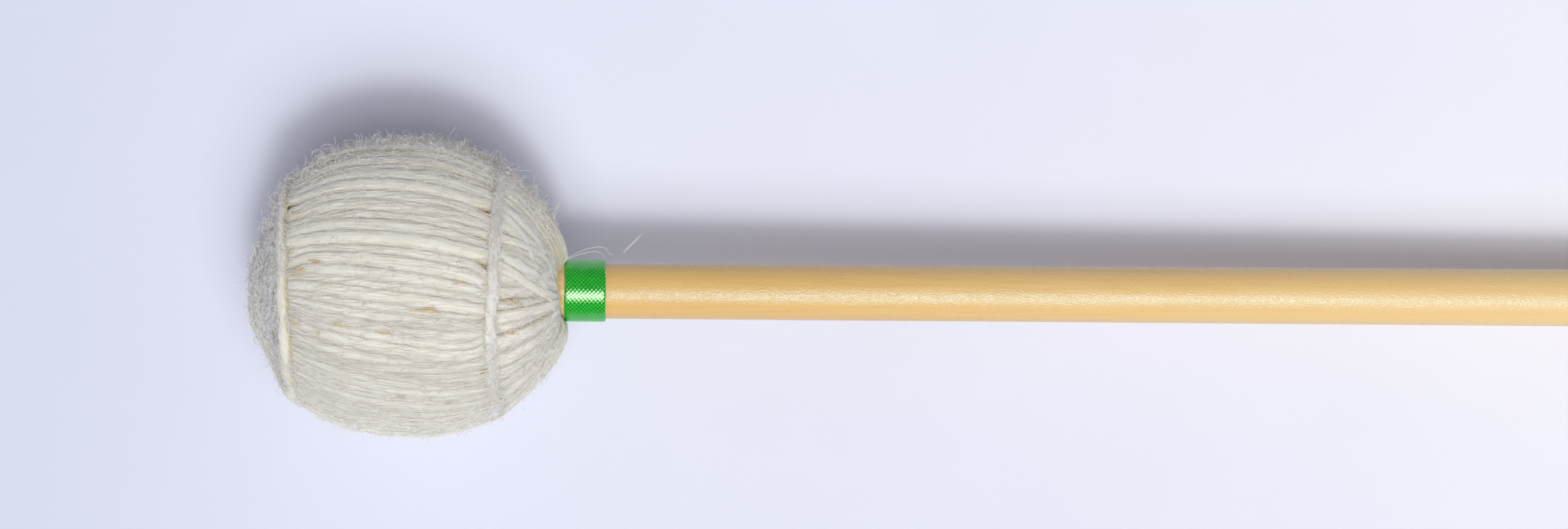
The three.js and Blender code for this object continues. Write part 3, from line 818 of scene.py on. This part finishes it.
def curly_fibres(name, count, length):
    """Fibres that stand off the yarn and curl."""
    steps = 14
    start = rng.uniform(0, 0.92, count) * HEAD_RUN
    keep = rng.random(count) * HEAD_RADIUS < 2 * radius_at(start)
    start = np.where(keep, start, rng.uniform(0.25, 0.8, count) * HEAD_RUN)
    angle = np.where(rng.random(count) < 0.4, rng.normal(-TURN / 4, 0.4, count), rng.uniform(0, TURN, count))
    points, outward = on_head(start, angle, HALO_ROOT)
    way = unit(outward * 0.6 + rng.normal(0, 0.7, (count, 3)))
    turn_axis = unit(np.cross(way, rng.normal(size=(count, 3))))
    size = length * rng.gamma(5, 0.2, (count, 1)) / steps
    curl = CURL * rng.uniform(0.7, 1.3, (count, 1))
    line = [points]
    for _ in range(steps - 1):
        turn_axis = unit(turn_axis + rng.normal(0, 0.3, (count, 3)))
        way = unit(way + curl * np.cross(turn_axis, way) + 0.04 * outward)
        line.append(line[-1] + way * size)
    return fibres(name, np.stack(line, 1), HALO_RADIUS, fuzz)


def stray_fibres():
    for part, (path, radius) in enumerate(zip(STRAY_FIBRE_PIXELS, STRAY_RADII)):
        line = spline(from_photo(path, SHAFT_RADIUS), 8)
        fibres(f"stray_fibre_{part + 1}", line[None], radius, fuzz)


under_yarn()
head_strands()
tip_strands()
cone_strands()
front_strands()
slit_shade_marks()
pinches = [seen_at(pixel)[1] for pixel in TIP_PINCH_PIXELS]
binding("tip_ring", tip_line, pinches, yarn, ["tip_binding"], **TIP_RING)
binding("neck_ring", neck_line, [], ring_yarn, ["neck_binding"], **NECK_RING)
ring_fibres("tip_ring_fibres", tip_line, TIP_RING_FIBRES)
ring_fibres("neck_ring_fibres", neck_line, NECK_RING_FIBRES)
for part in range(2):
    lying_fibres(f"lying_fibres_{part + 1}", LYING_FIBRES)
for part, (count, length) in enumerate(HALO_FIBRES):
    curly_fibres(f"halo_fibres_{part + 1}", count, length)
stray_fibres()


# Shaft
def turned_shape(profile, sides, wave):
    """Points of a profile of (along, radius) turned round the axis, and its faces. wave is how far the radius
    departs from round."""
    profile = np.array(profile)
    angle = np.linspace(0, TURN, sides, endpoint=False)
    radius = profile[:, 1:] * (1 + wave(profile[:, :1], angle))
    points = np.stack([np.broadcast_to(profile[:, :1], radius.shape), -radius * np.sin(angle),
                       radius * np.cos(angle)], -1)
    return points.reshape(-1, 3), ring_faces(1, len(profile), sides).tolist()


def rattan():
    material, nodes, links, shader = new_material("rattan")
    coordinates = nodes.new("ShaderNodeTexCoord")
    body = coordinates.outputs["Object"]
    grain = noise(nodes, links, body, 1900, 4, 0.6, (0.012, 1, 1))
    tone = noise(nodes, links, body, 60, 3, 0.5, (0.25, 1, 1))
    fleck = noise(nodes, links, body, 2600, 2, 0.6, (0.12, 1, 1))
    colour = ramp(nodes, links, grain, [(0.3, linear(213, 166, 89)), (0.5, linear(229, 187, 111)),
                                        (0.72, linear(237, 200, 128))])
    colour = mixed(nodes, links, tone, colour, linear(228, 183, 107))
    place = nodes.new("ShaderNodeSeparateXYZ")
    links.new(body, place.inputs["Vector"])
    to_butt = nodes.new("ShaderNodeMapRange")
    to_butt.inputs["From Max"].default_value = PALE_RATTAN
    to_butt.inputs["To Max"].default_value = 0.7
    links.new(place.outputs["X"], to_butt.inputs["Value"])
    colour = mixed(nodes, links, to_butt.outputs["Result"], colour, linear(255, 224, 164))

    # The sawn end shows the open pores of the cane, as dark spots of painted shade inside them.
    pores = nodes.new("ShaderNodeTexVoronoi")
    pores.inputs["Scale"].default_value = 2200
    links.new(body, pores.inputs["Vector"])
    pore_shade = ramp(nodes, links, pores.outputs["Distance"],
                [(0.18, linear(120, 82, 44)), (0.4, linear(214, 176, 118))])
    facing = nodes.new("ShaderNodeSeparateXYZ")
    links.new(coordinates.outputs["Normal"], facing.inputs["Vector"])
    end = ramp(nodes, links, facing.outputs["X"], [(0.8, BLACK), (0.95, WHITE)])
    links.new(mixed(nodes, links, end, colour, pore_shade), shader.inputs["Base Color"])
    worn = nodes.new("ShaderNodeMapRange")
    worn.inputs["To Min"].default_value = 0.16
    worn.inputs["To Max"].default_value = 0.42
    links.new(fleck, worn.inputs["Value"])
    links.new(worn.outputs["Result"], shader.inputs["Roughness"])
    shader.inputs["Specular IOR Level"].default_value = 0.6
    shader.inputs["Specular Tint"].default_value = (*linear(140, 222, 255), 1)
    glints = noise(nodes, links, body, 6500, 1, 0.5, (0.4, 1, 1))
    bump(nodes, links, shader, glints, VARNISH_GRAIN)
    return material


def shaft():
    front = HEAD_LENGTH - SHAFT_INSIDE
    main = np.linspace(front, MALLET_LENGTH - BUTT_EDGE, 260)
    growth = (BUTT_RADIUS - SHAFT_RADIUS) / (MALLET_LENGTH - RIBBON_FRONT)
    radius = SHAFT_RADIUS + growth * (main - RIBBON_FRONT)
    turn = np.linspace(0, math.pi / 2, 9)[1:]
    edge_along = MALLET_LENGTH - BUTT_EDGE + BUTT_EDGE * np.sin(turn)
    edge_radius = BUTT_RADIUS - BUTT_EDGE + BUTT_EDGE * np.cos(turn)
    face = np.linspace(BUTT_RADIUS - BUTT_EDGE, 0, 8)[1:]
    profile = np.concatenate([np.stack([main, radius], 1), np.stack([edge_along, edge_radius], 1),
                              np.stack([np.full(len(face), MALLET_LENGTH), face], 1)])

    def wave(along, angle):
        return SHAFT_WAVE_SHARE * np.sin(along / SHAFT_WAVE_RUN) * np.cos(2 * angle + along / SHAFT_TWIST_RUN)

    points, faces = turned_shape(profile, 96, wave)
    return mesh_piece("rattan_shaft", rest_on_table(points), faces, rattan(), replaces=["shaft"],
                      slot="rattan")


# Ribbon: a satin weave, whose threads stand up as rows of small bumps
def satin():
    material, nodes, links, shader = new_material("satin")
    body = body_place(nodes)
    thread = noise(nodes, links, body, 3000, 2, 0.5, (0.3, 1, 1))
    height = nodes.new("ShaderNodeAttribute")
    height.attribute_name = "height"
    colour = ramp(nodes, links, thread, [(0.3, linear(0, 184, 32)), (0.7, linear(6, 212, 48))])
    # Painted shade: the colour darkens in the low places between the weave's threads, so that the raised
    # threads show as dots.
    weave_shade = ramp(nodes, links, height.outputs["Fac"], [(0.2, (0.05, 0.32, 0.1)), (0.75, WHITE)])
    links.new(mixed(nodes, links, 1.0, colour, weave_shade, "MULTIPLY"), shader.inputs["Base Color"])
    shader.inputs["Roughness"].default_value = 0.15
    shader.inputs["IOR"].default_value = 1.65
    shader.inputs["Specular IOR Level"].default_value = 0.9
    shader.inputs["Specular Tint"].default_value = (*linear(236, 255, 226), 1)
    shader.inputs["Sheen Weight"].default_value = 0.8
    shader.inputs["Sheen Roughness"].default_value = 0.3
    shader.inputs["Sheen Tint"].default_value = (*linear(60, 255, 90), 1)
    return material


def ribbon():
    across_steps, round_steps = 80, 460
    x = np.linspace(0, 1, across_steps)
    turns = np.linspace(0, RIBBON_TURNS, round_steps)[:, None]
    columns = RIBBON_WIDTH / WEAVE_PITCH
    rows = round(TURN * RIBBON_RADIUS / WEAVE_PITCH)
    bumps = np.cos(TURN * columns * x) * np.cos(TURN * rows * turns)
    edge = np.minimum(x, 1 - x) * RIBBON_WIDTH
    weave = WEAVE_RISE * (bumps - SELVEDGE_DIP_SHARE * np.exp(-edge / SELVEDGE))
    radius = RIBBON_RADIUS + RIBBON_RISE * turns + weave
    angle = TURN * (RIBBON_START_SHARE - turns)
    along = RIBBON_FRONT + RIBBON_WIDTH * x + RIBBON_STRAY * np.sin(turns * TURN * 5)
    under = RIBBON_RADIUS + RIBBON_RISE * turns - RIBBON_THICKNESS + 0 * x
    layers = [np.stack([along, -r * np.sin(angle), r * np.cos(angle)], -1).reshape(-1, 3)
              for r in (radius, under)]
    index = np.arange(round_steps * across_steps).reshape(round_steps, across_steps)
    below = index.size
    quads = np.stack([index[:-1, :-1], index[:-1, 1:], index[1:, 1:], index[1:, :-1]], -1).reshape(-1, 4)
    rim = np.concatenate([index[0], index[1:, -1], index[-1, -2::-1], index[-2:0:-1, 0]])
    after = np.roll(rim, -1)
    faces = (quads.tolist() + (quads[:, ::-1] + below).tolist()
             + np.stack([after, rim, rim + below, after + below], -1).tolist())
    return mesh_piece("woven_ribbon", np.concatenate(layers), faces, satin(), replaces=["ribbon_band"],
                      slot="ribbon", height=np.concatenate([(bumps.ravel() + 1) / 2, np.zeros(below)]))


# Glue under the ribbon, which stands out at its edges
def amber_glue():
    material, nodes, links, shader = new_material("amber_glue")
    body = body_place(nodes)
    clots = noise(nodes, links, body, 1400, 3, 0.6)
    links.new(ramp(nodes, links, clots, [(0.3, linear(208, 172, 112)), (0.7, linear(238, 212, 158))]),
              shader.inputs["Base Color"])
    shader.inputs["Roughness"].default_value = 0.25
    shader.inputs["Subsurface Weight"].default_value = 0.3
    shader.inputs["Subsurface Scale"].default_value = GLUE_GLOW
    bump(nodes, links, shader, clots, GLUE_GRAIN)
    return material


def glue_film():
    front, back = RIBBON_FRONT - GLUE_AHEAD, RIBBON_FRONT + RIBBON_WIDTH + GLUE_BEHIND
    top = RIBBON_RADIUS - RIBBON_THICKNESS - GLUE_CLEARANCE
    on_shaft = SHAFT_RADIUS - GLUE_CLEARANCE
    profile = [(front, on_shaft), (front + GLUE_BEAD_MIDDLE, top - GLUE_BEAD_DROP), (front + GLUE_BEAD, top),
               (RIBBON_FRONT + GLUE_EVEN_FRONT, top), (back - GLUE_EVEN_BACK, top),
               (back - GLUE_BACK_BEAD, top - GLUE_BACK_DROP), (back, on_shaft)]

    def wave(along, angle):
        ends = np.abs(along - RIBBON_FRONT - RIBBON_WIDTH / 2) > RIBBON_WIDTH / 2
        return ends * GLUE_WAVE_SHARE * np.sin(angle * 5 + along / GLUE_WAVE_RUN) * np.sin(angle * 13)

    points, faces = turned_shape(profile, 160, wave)
    return mesh_piece("glue_film", points, faces, amber, replaces=["ribbon_glue"], slot="glue")


def rubber():
    material, nodes, links, shader = new_material("rubber")
    body = body_place(nodes)
    specks = noise(nodes, links, body, 1200, 4, 0.6)
    links.new(ramp(nodes, links, specks, [(0.3, linear(66, 61, 57)), (0.7, linear(84, 79, 74))]),
              shader.inputs["Base Color"])
    shader.inputs["Roughness"].default_value = 0.8
    bump(nodes, links, shader, specks, RUBBER_GRAIN)
    return material


def dress(node, material):
    """Gives one of the solids that the yarn hides its material."""
    data = frame["nodes"][node].data
    data.materials.clear()
    data.materials.append(material)


amber = amber_glue()
inner_yarn = plain_wool("inner_yarn", linear(228, 218, 196), linear(206, 192, 164), ALONG)
shaft()
glue_film()
ribbon()
dress("core_glue", amber)
dress("core", rubber())
dress("starting_hitch", inner_yarn)
dress("yarn_base_layer", inner_yarn)


# Table
def table_top():
    material, nodes, links, shader = new_material("table_top")
    body = body_place(nodes)
    place = nodes.new("ShaderNodeSeparateXYZ")
    links.new(body, place.inputs["Vector"])
    # Painted shade and light: the table's colour darkens towards the left and lightens towards the right, as
    # light falling off across it would.
    reach = nodes.new("ShaderNodeMapRange")
    half_width = PHOTO_SIZE[0] / 2 * PIXEL
    reach.inputs["From Min"].default_value = view_middle.x - half_width * (1 + 2 * TABLE_SHADE_SHARE)
    reach.inputs["From Max"].default_value = view_middle.x + half_width
    links.new(place.outputs["X"], reach.inputs["Value"])
    colour = ramp(nodes, links, reach.outputs["Result"], [
        (0, linear(208, 215, 234)), (0.6, linear(219, 225, 243)), (0.7, linear(229, 233, 250)),
        (0.84, linear(232, 236, 253)), (1, linear(240, 243, 255))])
    soft = noise(nodes, links, body, 40, 3, 0.5)
    mottled = ramp(nodes, links, soft, [(0.3, (0.985, 0.985, 0.985)), (0.7, WHITE)])
    links.new(mixed(nodes, links, 1.0, colour, mottled, "MULTIPLY"), shader.inputs["Base Color"])
    shader.inputs["Roughness"].default_value = 0.8
    shader.inputs["Specular IOR Level"].default_value = 0.1
    bpy.ops.mesh.primitive_plane_add(size=TABLE_SIZE, location=(0, 0, 0))
    floor = bpy.context.object
    floor.name = "table_top"
    floor.data.materials.append(material)


table_top()

# Light and camera
def light_scene():
    way = Vector((math.tan(LIGHT_ASIDE), -math.tan(LIGHT_TILT), 1)).normalized()
    for name, (spread, level) in LAMPS.items():
        lamp = bpy.data.lights.new(name, "AREA")
        lamp.shape = "DISK"
        lamp.size = 2 * LIGHT_DISTANCE * math.tan(spread)
        lamp.energy = level * (math.pi * LIGHT_DISTANCE) ** 2 / way.z
        lamp.color = LIGHT_COLOUR
        light = bpy.data.objects.new(name, lamp)
        light.location = Vector((LIGHT_ALONG, 0, 0)) + way * LIGHT_DISTANCE
        light.rotation_euler = way.to_track_quat("Z", "Y").to_euler()
        bpy.context.scene.collection.objects.link(light)

    world = bpy.data.worlds.new("studio")
    world.use_nodes = True
    bpy.context.scene.world = world
    nodes, links = world.node_tree.nodes, world.node_tree.links
    sky = nodes["Background"]
    sky.inputs["Color"].default_value = (*SKY_COLOUR, 1)
    sky.inputs["Strength"].default_value = SKY_LEVEL
    backdrop = nodes.new("ShaderNodeBackground")
    backdrop.inputs["Color"].default_value = (*linear(231, 234, 247), 1)
    seen = nodes.new("ShaderNodeMixShader")
    links.new(nodes.new("ShaderNodeLightPath").outputs["Is Camera Ray"], seen.inputs["Fac"])
    links.new(sky.outputs["Background"], seen.inputs[1])
    links.new(backdrop.outputs["Background"], seen.inputs[2])
    links.new(seen.outputs["Shader"], nodes["World Output"].inputs["Surface"])


def place_camera():
    lens = bpy.data.cameras.new("photo_view")
    lens.sensor_width = SENSOR_WIDTH
    lens.lens = lens.sensor_width * VIEW_DISTANCE / (PHOTO_SIZE[0] * PIXEL)
    lens.clip_start = NEAREST_VIEW
    camera = bpy.data.objects.new("photo_view", lens)
    camera.location = camera_place
    camera.rotation_euler = (0, 0, ROLL)
    bpy.context.scene.collection.objects.link(camera)
    bpy.context.scene.camera = camera


light_scene()
place_camera()
bpy.context.scene.view_settings.view_transform = "Standard"
